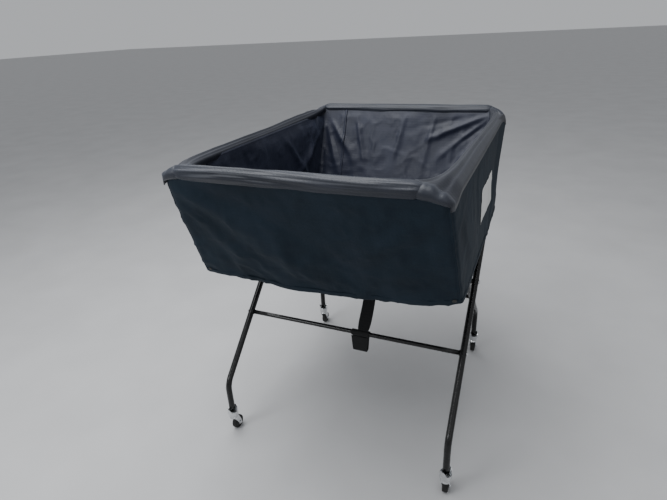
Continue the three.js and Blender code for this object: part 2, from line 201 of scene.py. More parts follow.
def normals(P, wrap=False):
    if wrap: a = np.roll(P, -1, 0) - np.roll(P, 1, 0)
    else: a = np.gradient(P, axis=0)
    b = np.gradient(P, axis=1)
    n = np.cross(a, b)
    return n / np.maximum(np.linalg.norm(n, axis=2, keepdims=True), 1e-9)
def fbm(P, scale, octaves=4, seed=0.0):
    q = np.asarray(P, float).reshape(-1, 3) * np.asarray(scale, float) + seed
    return np.array([noise.fractal(Vector(v), .6, 2.1, octaves) for v in q]).reshape(P.shape[:-1])
def smooth(t): t = np.clip(t, 0, 1); return t * t * (3 - 2 * t)
def sweep(name, pts, r, mat, sides=28, cap=True, radius=None):
    pts = np.array(pts, float); n = len(pts)
    t = np.gradient(pts, axis=0); t /= np.linalg.norm(t, axis=1, keepdims=True)
    ref = np.array([0, 0, 1.0]) if abs(t[0][2]) < .9 else np.array([1.0, 0, 0])
    u = np.cross(t[0], ref); u /= np.linalg.norm(u)
    verts = []
    for i in range(n):
        u = u - t[i] * (u @ t[i]); u /= np.linalg.norm(u)
        w = np.cross(t[i], u)
        for k in range(sides):
            a = 2 * math.pi * k / sides
            rr = r if radius is None else radius(i / (n - 1), a, pts[i], u * math.cos(a) + w * math.sin(a))
            verts.append(pts[i] + (u * math.cos(a) + w * math.sin(a)) * rr)
    faces = [(i * sides + k, i * sides + (k + 1) % sides, (i + 1) * sides + (k + 1) % sides, (i + 1) * sides + k) for i in range(n - 1) for k in range(sides)]
    if cap:
        faces += [tuple(reversed(range(sides))), tuple((n - 1) * sides + k for k in range(sides))]
    L = np.concatenate([[0], np.cumsum(np.linalg.norm(np.diff(pts, axis=0), axis=1))])
    uv = [(L[i], k / sides * 2 * math.pi * (r or .01)) for i in range(n) for k in range(sides)]
    return make(name, verts, faces, mat, uv)
def turned(name, profile, mat, matrix, sides=48, uv=None):
    """Profile of (radius, height) turned about the local Z, then placed by matrix."""
    verts, ring = [], []
    for r, h in profile:
        if r < 1e-7:
            ring.append([len(verts)]); verts.append((0, 0, h))
        else:
            ring.append(list(range(len(verts), len(verts) + sides)))
            verts += [(r * math.cos(2 * math.pi * k / sides), r * math.sin(2 * math.pi * k / sides), h) for k in range(sides)]
    faces = []
    for a, b in zip(ring, ring[1:]):
        for k in range(sides):
            k2 = (k + 1) % sides
            if len(a) == 1 and len(b) == 1: continue
            if len(a) == 1: faces.append((a[0], b[k2], b[k]))
            elif len(b) == 1: faces.append((a[k], a[k2], b[0]))
            else: faces.append((a[k], a[k2], b[k2], b[k]))
    o = make(name, verts, faces, mat, [(v[0], v[1] + v[2]) for v in verts])
    o.data.transform(matrix)
    mod = o.modifiers.new("edges", "EDGE_SPLIT"); mod.split_angle = math.radians(38)
    return o
def rounded(profile, r=.0006, n=3):
    """Small round on each corner of a turned profile."""
    out = [profile[0]]
    for a, b, c in zip(profile, profile[1:], profile[2:]):
        a, b, c = map(np.array, (a, b, c))
        la, lc = np.linalg.norm(a - b), np.linalg.norm(c - b)
        if la < 1e-6 or lc < 1e-6: continue
        rr = min(r, la * .4, lc * .4)
        p, q = b + (a - b) / la * rr, b + (c - b) / lc * rr
        for i in range(n + 1):
            t = i / n
            out.append(tuple((1 - t) ** 2 * p + 2 * t * (1 - t) * b + t * t * q))
    out.append(profile[-1])
    return out
def along_x(x, y, z, k=1):
    """Local Z turned to point along k * X, at (x, y, z)."""
    return Matrix.Translation((x, y, z)) @ Matrix.Rotation(math.radians(90 * k), 4, "Y")

# ---- tube frames ------------------------------------------------------------
def on_leg(sign, x, s): return np.array([x, sign * s * SN, PIVOT_Z + s * CS])
def leg_path(sign, x):
    t = FOOT_R * math.tan(LEAN / 2)
    cy, cz = -sign * (FOOT_Y - FOOT_R), BEND_Z - t
    pts = [(x, -sign * FOOT_Y, FOOT_Z), (x, -sign * FOOT_Y, FOOT_Z + .03)]
    for i in range(15):
        a = LEAN * i / 14
        pts.append((x, cy - sign * FOOT_R * math.cos(a), cz + FOOT_R * math.sin(a)))
    pts += [tuple(on_leg(sign, x, s)) for s in np.linspace(-.45, .2497, 12)]
    return pts
def bow_path(sign, x, start=.250, bend_from=0.0, n=18, m=24):
    cx, cs = x - CORNER_R, RAIL_S - CORNER_R
    arc = [(cx + CORNER_R * math.cos(a), cs + CORNER_R * math.sin(a)) for a in np.linspace(bend_from, math.pi / 2, n)]
    pts = [on_leg(sign, -x, s) for s in np.linspace(start, cs - .01, 8)] if start is not None else []
    pts += [on_leg(sign, -a, s) for a, s in arc]
    pts += [on_leg(sign, a, RAIL_S) for a in np.linspace(-cx, cx, m)[1:-1]]
    pts += [on_leg(sign, a, s) for a, s in arc[::-1]]
    if start is not None: pts += [on_leg(sign, x, s) for s in np.linspace(cs - .01, start, 8)]
    return pts
def weld(name, sign, k, x, body):
    """Weld bead where a crossbar meets a leg."""
    c = on_leg(sign, 0, BAR_S)
    pts = []
    for i in range(33):
        a = 2 * math.pi * i / 32
        y, z = c[1] + .0088 * math.cos(a), c[2] + .0088 * math.sin(a)
        # distance of this point from the leg's axis, across the leg
        across = (y - c[1]) * CS * -1 * sign + (z - c[2]) * SN
        depth = math.sqrt(max((TUBE_R + .0004) ** 2 - min(abs(across), TUBE_R) ** 2, 0))
        pts.append((k * (x - depth), y, z))
    o = sweep(name, pts, .0014, M_PAINT, sides=10, cap=False, radius=lambda u, a, p, d: .0014 + .0004 * math.sin(u * 90))
    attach(o, body)
for fr, sign, x in (("outer", 1, OUTER_X), ("inner", -1, INNER_X)):
    body = fr + "_frame"
    for side, k in (("left", -1), ("right", 1)):
        o = sweep(f"{fr}_{side}_leg_tube", leg_path(sign, k * x), TUBE_R, M_PAINT)
        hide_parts(f"{fr}_{side}_leg"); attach(o, body)
        weld(f"{fr}_{side}_weld", sign, k, x, body)
        # swaged joint collar between leg and bow
        a, b = on_leg(sign, k * x, .238), on_leg(sign, k * x, .262)
        o = sweep(f"{fr}_{side}_joint_ring", [a + (b - a) * t for t in np.linspace(0, 1, 9)], .0116, M_PAINT, radius=lambda u, a_, p, d: .01115 + .0006 * math.sin(math.pi * u) ** .5)
        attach(o, body)
        bc = on_leg(sign, 0, BAR_S)
        o = turned(f"{fr}_{side}_crossbar_screw_head", rounded([(0, 0), (.006, 0), (.006, .0012), (.0042, .003), (.0022, .0033), (.0018, .0022), (0, .0022)], .0003), M_STEEL, along_x(k * (x + TUBE_R + .0003), bc[1], bc[2], k), 32)
        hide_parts(f"{fr}_{side}_crossbar_screw"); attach(o, body)
    o = sweep(f"{fr}_bow_tube", bow_path(sign, x), TUBE_R, M_PAINT)
    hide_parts(f"{fr}_top_bow"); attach(o, body)
    bc = on_leg(sign, 0, BAR_S)
    o = sweep(f"{fr}_crossbar_tube", [(xx, bc[1], bc[2]) for xx in np.linspace(-x + .010, x - .010, 12)], BAR_R, M_PAINT)
    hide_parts(f"{fr}_crossbar"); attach(o, body)

# ---- pivot hardware ---------------------------------------------------------
for side, k in (("left", -1), ("right", 1)):
    head = OUTER_X + TUBE_R + .0003
    o = turned(f"{side}_pivot_bolt_turned", rounded([(0, -.062), (.0034, -.062), (.004, -.061), (.004, 0), (.0075, 0), (.0075, .0015), (.005, .0042), (.0028, .0049), (.0022, .0034), (0, .0034)], .0004), M_STEEL, along_x(k * head, 0, PIVOT_Z, k), 40)
    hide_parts(f"{side}_pivot_bolt"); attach(o, "outer_frame")
    for n, x0, x1, r, mat, sl, sides in (("spacer", INNER_X + TUBE_R + .0003, OUTER_X - TUBE_R - .0003, .009, M_NYLON, "nylon", 40), ("nut", INNER_X - TUBE_R - .0063, INNER_X - TUBE_R - .0003, .0075, M_STEEL, "bright_steel", 6)):
        h = x1 - x0
        m = Matrix.Translation((k * x0 if k > 0 else -x0, 0, PIVOT_Z)) @ Matrix.Rotation(math.radians(90 * k), 4, "Y")
        o = turned(f"{side}_pivot_{n}_turned", [(.0045, 0), (r - .0005, 0), (r, .0006), (r, h - .0006), (r - .0005, h), (.0045, h), (.0045, 0)], mat, m, sides)
        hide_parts(f"{side}_pivot_{n}"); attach(o, "outer_frame")

# ---- casters ----------------------------------------------------------------
def bent_plate(name, bm_parts, mat, width=.0006):
    me = bpy.data.meshes.new(name); bm_parts.to_mesh(me); bm_parts.free(); me.materials.append(mat)
    o = bpy.data.objects.new(name, me); scene.collection.objects.link(o)
    bv = o.modifiers.new("round", "BEVEL"); bv.width = width; bv.segments = 3
    return o
def prism(bm, pts, at, thick, axis_u, axis_v, axis_n):
    """Flat plate: outline pts in (u, v), thickness along n, centred on at."""
    at, axis_u, axis_v, axis_n = map(Vector, (at, axis_u, axis_v, axis_n))
    rings = [[bm.verts.new(at + axis_u * a + axis_v * b + axis_n * (h * thick / 2)) for a, b in pts] for h in (-1, 1)]
    n = len(pts)
    bm.faces.new(rings[0][::-1]); bm.faces.new(rings[1])
    for i in range(n):
        bm.faces.new((rings[0][i], rings[0][(i + 1) % n], rings[1][(i + 1) % n], rings[1][i]))
def caster(name, x, y, frame_body):
    up = Matrix.Translation((x, y, 0))
    # cup under the tube's end, open at the top, and the kingpin head below it
    o = turned(f"{name}_caster_cup", rounded([(0, .060), (.0065, .060), (.0065, .063), (.004, .0636), (.004, .0716), (.0150, .0716), (.0172, .0728), (.0190, .0760), (.0197, .0800), (.0197, .0965), (.0180, .0965), (.0176, .0810), (.0160, .0790), (.0114, .0900), (.0112, .0946), (0, .0946)], .0005), M_STEEL, up, 56)
    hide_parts(f"{name}_caster_stem"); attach(o, frame_body)
    # two ears, rising beside the tube
    turn = math.radians(60 if y < 0 else 26)
    rad, tan = Vector((math.cos(turn), math.sin(turn), 0)), Vector((-math.sin(turn), math.cos(turn), 0))
    verts, faces = [], []
    nu, nv = 15, 9
    for k in (-1, 1):
        base = len(verts)
        for h in (0, 1):
            r = .0176 if h == 0 else .0197
            for i in range(nu):
                a = math.radians(-52 + 104 * i / (nu - 1))
                top = .0955 + .0185 * math.cos(a / math.radians(52) * math.pi / 2) ** .75
                for j in range(nv):
                    z = .0860 + (top - .0860) * j / (nv - 1)
                    p = (rad * math.cos(a) + tan * math.sin(a)) * k * r
                    verts.append((x + p.x, y + p.y, z))
        off = nu * nv
        for h in (0, 1):
            for i in range(nu - 1):
                for j in range(nv - 1):
                    q = [base + h * off + i * nv + j, base + h * off + (i + 1) * nv + j, base + h * off + (i + 1) * nv + j + 1, base + h * off + i * nv + j + 1]
                    faces.append(q if h else q[::-1])
        for i in range(nu - 1):
            q = [base + i * nv + nv - 1, base + (i + 1) * nv + nv - 1, base + off + (i + 1) * nv + nv - 1, base + off + i * nv + nv - 1]
            faces.append(q)
        for j in range(nv - 1):
            faces.append([base + j, base + j + 1, base + off + j + 1, base + off + j])
            faces.append([base + (nu - 1) * nv + j, base + off + (nu - 1) * nv + j, base + off + (nu - 1) * nv + j + 1, base + (nu - 1) * nv + j + 1])
    ears = make(f"{name}_cup_ears", verts, faces, M_STEEL, [(v[0], v[2]) for v in verts])
    ears.modifiers.new("edges", "EDGE_SPLIT").split_angle = math.radians(40)
    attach(ears, frame_body)
    # swivelling fork: turned crown plus two pressed arms
    crown = turned(f"{name}_fork_crown", rounded([(.0046, .0640), (.0158, .0640), (.0172, .0650), (.0172, .0666), (.0158, .0690), (.0148, .0708), (.0115, .0712), (.0108, .0702), (.0046, .0702), (.0046, .0640)], .0005), M_STEEL, up, 56)
    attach(crown, f"{name}_fork")
    arm = [(-.0120, .0662), (.0132, .0662), (.0180, .0540), (TRAIL + .0076, WHEEL_R + .009), (TRAIL + .0084, WHEEL_R), (TRAIL + .0070, WHEEL_R - .0055), (TRAIL + .003, WHEEL_R - .0080), (TRAIL - .003, WHEEL_R - .0080), (TRAIL - .0066, WHEEL_R - .0055), (TRAIL - .0084, WHEEL_R), (TRAIL - .0150, .0420)]
    bm = bmesh.new()
    for k in (-1, 1):
        prism(bm, arm, (x + k * .0121, y, 0), .0018, (0, 1, 0), (0, 0, 1), (1, 0, 0))
    arms = bent_plate(f"{name}_fork_arms", bm, M_STEEL)
    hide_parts(f"{name}_caster_fork"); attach(arms, f"{name}_fork")
    ax = along_x(x, y + TRAIL, WHEEL_R)
    o = turned(f"{name}_axle_bolt", rounded([(0, -.0172), (.0040, -.0172), (.0058, -.0158), (.0058, -.0134), (.003, -.0134), (.003, .0134), (.0058, .0134), (.0058, .0158), (.0040, .0172), (0, .0172)], .0003), M_STEEL, ax, 40)
    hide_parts(f"{name}_axle"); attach(o, f"{name}_fork")
    hub = turned(f"{name}_hub_moulding", rounded([(.0035, -.0100), (.0072, -.0100), (.0082, -.0075), (.0092, -.0062), (.0140, -.0058), (.0156, -.0072), (.0172, -.0076), (.0174, 0), (.0172, .0076), (.0156, .0072), (.0140, .0058), (.0092, .0062), (.0082, .0075), (.0072, .0100), (.0035, .0100), (.0035, -.0100)], .0004), M_WHEEL, ax, 56)
    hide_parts(f"{name}_wheel_hub"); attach(hub, f"{name}_wheel")
    prof = [(.0178, -.0080), (.0192, -.0086), (.0215, -.0090), (.0232, -.0086)]
    prof += [(.0232 + .0023 * math.sin(a), -math.copysign(.0086 * abs(math.cos(a)) ** .8, math.cos(a))) for a in np.linspace(.12, math.pi - .12, 15)]
    prof += [(.0232, .0086), (.0215, .0090), (.0192, .0086), (.0178, .0080), (.0178, -.0080)]
    ty = turned(f"{name}_tyre_rubber", prof, M_TYRE, ax, 72)
    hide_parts(f"{name}_tyre"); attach(ty, f"{name}_wheel")
for nm, x, y, b in (("front_left", -OUTER_X, -FOOT_Y, "outer_frame"), ("front_right", OUTER_X, -FOOT_Y, "outer_frame"), ("rear_left", -INNER_X, FOOT_Y, "inner_frame"), ("rear_right", INNER_X, FOOT_Y, "inner_frame")):
    caster(nm, x, y, b)

# ---- fabric bin -------------------------------------------------------------
def on_bin(o, *nodes, slot="cover_fabric"):
    if nodes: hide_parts(*nodes)
    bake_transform(o)
N_FR, N_CO, N_SI = 96, 14, 110
def loop(front, rear, hx_f, hx_r, hy, radius, z):
    """Closed loop: front left to right, right side, rear right to left, left side.
    front and rear are not used; hx_f and hx_r give the half width at each end; radius(front?, k) rounds each corner."""
    pts = []
    def side_x(yy, k):
        t = (yy + hy) / (2 * hy); return k * (hx_f(k) * (1 - t) + hx_r(k) * t)
    def corner(yend, k, rr, f):
        # f = 0 on the front or rear edge, 1 on the side edge
        sgn = 1 if yend > 0 else -1
        a = f * math.pi / 2
        xs = abs(side_x(yend, k))
        return (k * (xs - rr + rr * math.sin(a)), sgn * (abs(yend) - rr + rr * math.cos(a)))
    rfl, rfr, rrl, rrr = radius
    xl, xr = hx_f(-1) - rfl, hx_f(1) - rfr
    for t in np.linspace(0, 1, N_FR, endpoint=False): pts.append((-xl + (xl + xr) * t, -hy))
    for f in np.linspace(0, 1, N_CO, endpoint=False): pts.append(corner(-hy, 1, rfr, f))
    for t in np.linspace(0, 1, N_SI, endpoint=False):
        yy = (-hy + rfr) + (2 * hy - rfr - rrr) * t; pts.append((side_x(yy, 1), yy))
    for f in np.linspace(1, 0, N_CO, endpoint=False): pts.append(corner(hy, 1, rrr, f))
    xl2, xr2 = hx_r(-1) - rrl, hx_r(1) - rrr
    for t in np.linspace(0, 1, N_FR, endpoint=False): pts.append((xr2 - (xl2 + xr2) * t, hy))
    for f in np.linspace(0, 1, N_CO, endpoint=False): pts.append(corner(hy, -1, rrl, f))
    for t in np.linspace(0, 1, N_SI, endpoint=False):
        yy = (hy - rrl) - (2 * hy - rfl - rrl) * t; pts.append((side_x(yy, -1), yy))
    for f in np.linspace(1, 0, N_CO, endpoint=False): pts.append(corner(-hy, -1, rfl, f))
    return np.array([(x, y, z(x, y)) for x, y in pts])
def gauss(v, w): return np.exp(-(v / w) ** 2)
def skirt_top_z(x, y):
    base = RAIL_Z - .016
    base -= (.022 if y > 0 else .010) * smooth((abs(x) - .33) / .075) * smooth((abs(y) - .43) / .08)
    return float(base + .006 * smooth((.50 - abs(y)) / .08) - .004 * (1 - (y / .54) ** 2) * (abs(y) < .5))
HEM_F = ([-.415, -.399, -.294, -.210, -.105, .002, .148, .281, .360, .415], [.690, .688, .692, .687, .680, .676, .684, .697, .710, .720])
def hem_z(x, y):
    f = np.interp(x, *HEM_F)
    r = .709 - .016 * (1 - min(1, abs(x) / .41) ** 2.2)
    t = float(smooth((y + HEM_Y) / (2 * HEM_Y)))
    side = -.009 * (1 - (y / HEM_Y) ** 2)
    return float(f * (1 - t) + r * t + side * (abs(x) > .38))
T = loop(None, None, lambda k: .396 if k > 0 else .386, lambda k: .404, .533, (.045, .028, .034, .034), skirt_top_z)
H = loop(None, None, lambda k: .4125, lambda k: .4125, HEM_Y, (.016, .018, .018, .018), hem_z)
NV = 50
v = np.linspace(0, 1, NV)
P = T[:, None] * (1 - v[None, :, None]) + H[:, None] * v[None, :, None]
nrm = normals(P, True)
cen = P.mean((0, 1))
flip = np.sign(((P - cen) * nrm).sum(2).mean()); nrm = nrm * flip
edge = smooth(v * 7)[None, :] * np.ones(len(P))[:, None]
is_side = smooth((np.abs(nrm[..., 0]) - .6) / .3)
d = (.0070 * fbm(P, (4.0, 4.0, 3.5), 3, 3.1) + .0033 * fbm(P, (13, 13, 8), 3, 8.7) + .0034 * np.clip(1 - np.abs(fbm(P, (9, 9, 12), 2, 41.0)) * 2.6, 0, 1) ** 2) * (1 - .6 * is_side)
# soft diagonal tension folds from the upper corners towards the hem's middle
def fold(P, p0, p1, width, amp):
    a, b = np.array(p0), np.array(p1); ab = b - a
    t = np.clip(((P - a) @ ab) / (ab @ ab), 0, 1)
    dist = np.linalg.norm(P - (a + t[..., None] * ab), axis=-1)
    s = np.exp(-(dist / (width * (.5 + .8 * t))) ** 2) * np.sin(np.pi * np.clip(t * .9 + .08, 0, 1))
    return amp * s
for a, b, w_, am in (((-.36, -.52, 1.02), (.02, -.42, .80), .036, .009), ((-.30, -.53, 1.03), (.10, -.45, .88), .026, -.006), ((.37, -.52, 1.0), (.04, -.42, .80), .040, .009),
                     ((.30, -.53, 1.03), (-.02, -.46, .93), .028, -.005), ((-.34, -.49, .93), (-.16, -.40, .73), .030, .007), ((-.17, -.45, .86), (.04, -.41, .74), .034, .008),
                     ((.36, -.47, .90), (.20, -.41, .74), .030, .006), ((.04, -.45, .88), (.16, -.41, .73), .030, -.005),
                     ((.36, .52, 1.0), (-.05, .42, .78), .045, .008), ((-.36, .52, 1.0), (.05, .42, .78), .045, .008), ((.25, .48, .92), (.05, .40, .74), .035, .006),
                     ((.40, -.46, 1.0), (.41, -.10, .76), .035, .004), ((.40, -.40, .95), (.41, -.20, .74), .025, .003), ((-.40, -.46, 1.0), (-.41, -.10, .76), .035, .004), ((-.40, .42, 1.0), (-.41, .0, .78), .035, .004)):
    d += fold(P, a, b, w_ * 1.25, am * 1.3)
for a, b, w_, am in (((-.31, -.53, 1.022), (.33, -.53, 1.014), .011, -.0045), ((-.02, -.53, 1.004), (.37, -.525, .985), .013, .0055), ((.05, -.52, .975), (.38, -.52, .955), .014, -.005), ((-.37, -.53, 1.01), (-.10, -.52, .985), .014, .005)):
    d += fold(P, a, b, w_, am)
d += .0022 * np.sin(P[..., 0] * 31 + 1.3 + 5 * P[..., 2]) * smooth((v[None, :] - .7) / .3) * (1 - is_side)
d = np.where(d < -.004, -.004, d)
d = d * (1 - is_side) + np.clip(d, -.0008, .006) * is_side
P = P + nrm * (d * edge)[..., None]
def over_legs(Q, extra=0.0):
    """Half width that clears the outer frame's legs: the cloth drapes over each tube like a low tent."""
    s_ = Q[..., 1] * SN + (Q[..., 2] - PIVOT_Z) * CS
    ac = np.abs(Q[..., 1] * CS - (Q[..., 2] - PIVOT_Z) * SN)
    a_ = np.arcsin(np.clip((s_ - (RAIL_S - CORNER_R)) / CORNER_R, 0, 1))
    xc = OUTER_X - CORNER_R + CORNER_R * np.cos(a_)
    rr = TUBE_R + .0022
    lim = xc + np.where(ac < .35 * rr, np.sqrt(np.maximum(rr ** 2 - ac ** 2, 0)), rr * .9367 - (ac - .35 * rr) * .16)
    lim = lim + extra
    # only the sides, away from the rounded corners' turn
    w_ = smooth((.500 - np.abs(Q[..., 1])) / .02)
    x_ = np.abs(Q[..., 0]); on = (x_ > .375) & (lim > x_)
    out = Q.copy()
    out[..., 0] = np.where(on, np.sign(Q[..., 0]) * (x_ + (lim - x_) * w_), Q[..., 0])
    return out
P = over_legs(P)
skirt = make("outer_skirt", P.reshape(-1, 3), grid_faces(len(P), NV, True), M_COVER, grid_uv(P), thick=.0012)
on_bin(skirt, "front_panel", "rear_panel", "left_side_panel", "right_side_panel")
SKIRT = P
SN_ = normals(P, True); SN_ = SN_ * np.sign(((P - cen) * SN_).sum(2).mean())

# hem: turned-up double edge
hp = []
up = (SKIRT[:, -6] - SKIRT[:, -1]); up /= np.linalg.norm(up, axis=1, keepdims=True)
for off, drop in ((.0010, .0175), (.0016, .0165), (.0017, .009), (.0018, .002), (.0010, -.0010), (-.0008, -.0010), (-.0012, .003)):
    hp.append(SKIRT[:, -1] + SN_[:, -1] * off + up * drop)
hp = np.stack(hp, 1)
on_bin(make("skirt_hem", hp.reshape(-1, 3), grid_faces(len(hp), hp.shape[1], True), M_COVER, grid_uv(hp), thick=.0008))

# seam down each corner: a narrow raised fold of cloth
def strip_on(name, pts, nr, width, lift, mat, along=5):
    pts, nr = np.array(pts), np.array(nr)
    t = np.gradient(pts, axis=0); t /= np.linalg.norm(t, axis=1, keepdims=True)
    nr = nr / np.linalg.norm(nr, axis=1, keepdims=True)
    w = np.cross(t, nr)
    rows = [pts + w * (width * u) + nr * (lift * (1 - abs(2 * u) ** 2.5)) for u in np.linspace(-.5, .5, along)]
    g = np.stack(rows, 1)
    o = make(name, g.reshape(-1, 3), grid_faces(len(pts), along), mat, grid_uv(g), thick=.0006)
    return o
marks = {"front_right": N_FR + N_CO // 2, "rear_right": N_FR + N_CO + N_SI + N_CO // 2, "rear_left": 2 * N_FR + 2 * N_CO + N_SI + N_CO // 2, "front_left": 2 * N_FR + 3 * N_CO + 2 * N_SI + N_CO // 2}
for nm, i in marks.items():
    on_bin(strip_on(f"{nm}_corner_seam", SKIRT[i, 1:], SN_[i, 1:], .0075, .0022, M_COVER))

# rim bands: the sides' rolled top edges, pulled straight between the two rails
LIN_TOP = {}
for side, k in (("left", -1), ("right", 1)):
    nu, nv = 130, 22
    t = np.linspace(0, 1, nu)
    yy = -.512 + 1.022 * t
    outer = np.stack([k * np.interp(yy, [-.54, .54], [.397 if k > 0 else .388, .405]), yy, [skirt_top_z(.40, q) + .001 for q in yy]], 1)
    ends = np.exp(-t * 15) * .050 + np.exp(-(1 - t) * 15) * .022
    inner_x = .354 + .022 * t - ends
    inner = np.stack([k * inner_x, yy + .018 * np.exp(-t * 15) - .018 * np.exp(-(1 - t) * 15), RAIL_Z + .002 - .010 * t - .003 * np.sin(np.pi * t) + .010 * np.exp(-t * 20) + .016 * np.exp(-(1 - t) * 20)], 1)
    q = np.linspace(0, 1, nv)
    G = inner[:, None] * (1 - q[None, :, None]) + outer[:, None] * q[None, :, None]
    crown = .0125 * np.sin(np.pi * q) ** .75
    G[..., 2] += crown[None, :]
    G[..., 2] += (.0026 * np.sin(q * 17 + 3 * fbm(G, (2, 1.5, 2), 2, 2.2 + k)) + .0024 * fbm(G, (16, 3.0, 16), 3, 4.4)) * np.sin(np.pi * q)[None, :]
    # puckers where it wraps the bends
    G[..., 2] += (.0019 * np.sin(q * 23 + 1.0)[None, :] * (np.exp(-t * 14) + np.exp(-(1 - t) * 14))[:, None]) * np.sin(np.pi * q)[None, :]
    # rolled inner edge: turns down into the lining
    roll = []
    for a in np.linspace(math.pi / 2, 0, 6)[1:]:
        roll.append(inner + np.stack([k * (-.004 * np.cos(a) * np.ones(nu)), np.zeros(nu), (-.006 + .006 * np.sin(a)) * np.ones(nu)], 1))
    roll = [r_ for r_ in reversed(roll)]
    tail = np.stack([inner[:, 0] - k * .004, inner[:, 1], inner[:, 2] - .020], 1)
    G = np.concatenate([np.stack([tail] + roll, 1), G], 1)
    LIN_TOP[k] = np.stack([inner[:, 0] - k * .004, inner[:, 1], inner[:, 2] - .008], 1)
    # outer edge laps over the skirt
    lap = np.stack([outer[:, 0] + k * .0022, outer[:, 1], outer[:, 2] - .004], 1); lap2 = lap + np.array([k * .0004, 0, -.012])
    G = np.concatenate([G, lap[:, None], lap2[:, None]], 1)
    # hoods: each end goes on over the rail's sleeve and down to the skirt
    def hood(row, end):
        """Rows past the band's end row, over the sleeve; end is -1 in front, 1 at the rear."""
        xa = np.abs(row[:, 0]); far = smooth((xa - .335) / .062)
        out = []
        for m_, (yy_, zz_) in enumerate(((.5218, 1.0856), (.5340, 1.0832), (.5424, 1.0733), (.5432, 1.0625), (.5400, 1.0540), (.5350, 1.0480))):
            y_ = np.full(len(row), yy_) - (.004 if end < 0 else .006) * far
            z0 = np.minimum(1.0856, row[:, 2] + .0045); z0[:6] = z0[6]
            z1 = 1.0480 - (.012 if end < 0 else .023) * far
            z_ = z1 + (z0 - z1) * (zz_ - 1.0480) / (1.0856 - 1.0480)
            x_ = row[:, 0].copy()
            # they rise smoothly out of the sleeve
            sink = .0050 * (1 - smooth((xa - (.300 if end < 0 else .325)) / .036))
            y_ -= sink * (yy_ - .5250) / .0185; z_ -= sink * (zz_ - 1.067) / .0185
            # the rolled inner edge lies down on the sleeve
            x_[:6] = row[6, 0] - k * np.array([.0036, .0030, .0022, .0014, .0007, .0002])
            low = np.array([.0052, .0042, .0030, .0018, .0009, .0003])
            y_[:6] -= low * (yy_ - .5250) / .0185; z_[:6] -= low * (zz_ - 1.067) / .0185
            # the outer edge rolls over
            z_[-2] -= .002; z_[-1] -= .006
            p = np.stack([x_, end * y_, z_], 1)
            wob = .0004 * np.sin(p[:, 0] * 120 + m_ * .7 + end) + .0006 * fbm(p[:, None], (22, 22, 22), 2, 5.5)[:, 0]
            p[:, 2] += wob * (m_ < 3); p[:, 1] += end * wob * (m_ >= 2) * (m_ < 5)
            out.append(p)
        return out
    front_rows, rear_rows = hood(G[0], -1), hood(G[-1], 1)
    G = np.concatenate([np.stack(front_rows[::-1]), G, np.stack(rear_rows)], 0)
    # rounded in plan at each corner, like the skirt below
    for end, rr, hx_ in ((-1, .045 if k < 0 else .030, (.3905 if k < 0 else .4000)), (1, .034, .4075)):
        cx_, cy_ = hx_ - rr, .5430 - rr
        ax_, ay_ = np.abs(G[..., 0]) - cx_, end * G[..., 1] - cy_
        dd_ = np.hypot(np.maximum(ax_, 0), np.maximum(ay_, 0)); hit = (ax_ > 0) & (ay_ > 0) & (dd_ > rr)
        G[..., 0] = np.where(hit, k * (cx_ + ax_ / np.maximum(dd_, 1e-6) * rr), G[..., 0])
        G[..., 1] = np.where(hit, end * (cy_ + ay_ / np.maximum(dd_, 1e-6) * rr), G[..., 1])
    G[6:-6, 22:] = over_legs(G[6:-6, 22:], .0016)
    nu = len(G)
    o = make(f"{side}_rim_band", G.reshape(-1, 3), grid_faces(nu, G.shape[1]), M_BAND, grid_uv(G), thick=.0012)
    # the hood rows get the sleeve material, whose lighter colour is painted top light
    o.data.materials.append(M_SLEEVE_PAINTED_SHEEN)
    nf = G.shape[1] - 1
    o.data.polygons.foreach_set("material_index", [int(i // nf < 6 or i // nf >= nu - 7) for i in range(len(o.data.polygons))])
    on_bin(o, f"{side}_side_band")

# rail sleeves, with long wrinkles that run with the rail
for side, sign, x, body in (("rear", 1, OUTER_X, "outer_frame"), ("front", -1, INNER_X, "inner_frame")):
    cx = x - CORNER_R
    pts = [p_ for p_ in bow_path(sign, x, None, math.radians(8), 22, 150)]
    def rad(u, a, p, dirn, sg=sign, cx=cx):
        q = Vector((p[0] * 3.0, dirn[1] * 2.2 + sg, dirn[2] * 2.2))
        w = noise.fractal(q, .7, 2.0, 3)
        ang = math.atan2(dirn[2], dirn[1])
        w2 = math.sin(ang * 7 + 5 * noise.noise(Vector((p[0] * 3, 2.0 * sg, 0))))
        w3 = max(0.0, noise.noise(Vector((p[0] * 9, ang * 1.3, 7.7 * sg))))
        thin = float(smooth((abs(p[0]) - (cx - .006)) / .032))
        body_r = .0198 + .0016 * w + .0010 * w2 + .0016 * w3 + .0020 * max(0.0, -dirn[2])
        return body_r * (1 - thin) + (.0140 + .0006 * w) * thin
    # the sleeve cloth wears the lighter sleeve material: a painted highlight of the top-lit sheen
    o = sweep(f"{side}_sleeve_cloth", pts, .0195, M_SLEEVE_PAINTED_SHEEN, sides=64, cap=False, radius=rad)
    md = o.modifiers.new("thickness", "SOLIDIFY"); md.thickness = .0012; md.offset = -1
    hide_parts(f"{side}_rail_sleeve"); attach(o, body)

# lining: from the sleeves and rim bands down to the floor
def lin_top_z(x, y):
    if abs(y) > .44: return RAIL_Z + .002
    return RAIL_Z - .006 - .010 * (y + .44) / .88
A = loop(None, None, lambda k: .348, lambda k: .370, .511, (.040, .040, .035, .035), lin_top_z)
B = loop(None, None, lambda k: .350, lambda k: .350, .372, (.016, .016, .016, .016), lambda x, y: FLOOR_Z - .003)
NL = 58
v2 = np.linspace(0, 1, NL)
L = A[:, None] * (1 - v2[None, :, None]) + B[:, None] * v2[None, :, None]
L[..., 0] = np.where(np.abs(L[..., 0]) > .353, np.sign(L[..., 0]) * (.353 + (np.abs(L[..., 0]) - .353) * (1 - smooth(v2 * 5))[None, :]), L[..., 0])
n = normals(L, True); n *= -np.sign(((L - L.mean((0, 1))) * n).sum(2).mean())   # into the bin
ridge = 1 - np.abs(fbm(L, (6.5, 6.5, 5.5), 3, 31.7)) * 2.2
